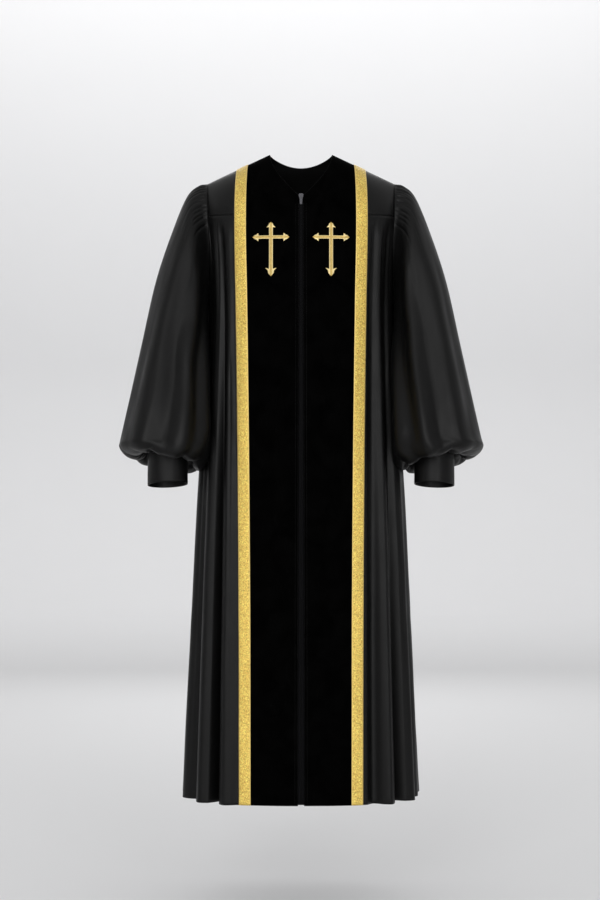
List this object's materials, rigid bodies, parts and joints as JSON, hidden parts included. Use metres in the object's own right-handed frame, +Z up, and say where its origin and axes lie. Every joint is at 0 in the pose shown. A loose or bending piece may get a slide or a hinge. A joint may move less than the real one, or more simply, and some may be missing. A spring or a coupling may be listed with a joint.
{
  "type": "clergy robe",
  "caption": "Full-length black clergy robe held open as worn, with velvet zip fronts, gold bands and crosses, a fluted back and gathered bell sleeves.",
  "frame": {"origin": "midway between the neck ends of the two shoulder seams, where the robe rests on its wearer", "axes": "+Z up the robe, -Y the way its front faces, +X towards the wearer's left"},
  "size_m": [0.7548, 0.3826, 1.3501],
  "materials": {
    "robe_cloth": "soft satin-faced polyester, black",
    "velvet": "short-pile velvet, deep black",
    "gold_brocade": "woven metallic brocade ribbon, gold",
    "gold_embroidery": "metallic satin stitch, gold",
    "zip_tape": "woven zip tape with coil teeth, black",
    "zip_metal": "plated zinc, bright grey"
  },
  "bodies": {
    "robe": {"back_panel": "robe_cloth", "back_yoke": "robe_cloth", "front_left": "robe_cloth", "front_right": "robe_cloth", "yoke_left": "robe_cloth", "yoke_right": "robe_cloth", "velvet_left": "velvet", "velvet_right": "velvet", "band_left": "gold_brocade", "band_right": "gold_brocade", "cross_left": "gold_embroidery", "cross_right": "gold_embroidery", "sleeve_left": "robe_cloth", "sleeve_right": "robe_cloth", "cuff_left": "robe_cloth", "cuff_right": "robe_cloth", "zip_tape": "zip_tape", "zip_slider": "zip_metal"},
    "zip_pull": {"zip_pull": "zip_metal"}
  },
  "joints": [
    {"name": "zip_pull_swing", "type": "hinge", "parent": "robe", "child": "zip_pull", "pos_m": [0, -0.11692, -0.10017], "axis": [-1, 0, 0], "range_deg": [0, 160]}
  ]
}
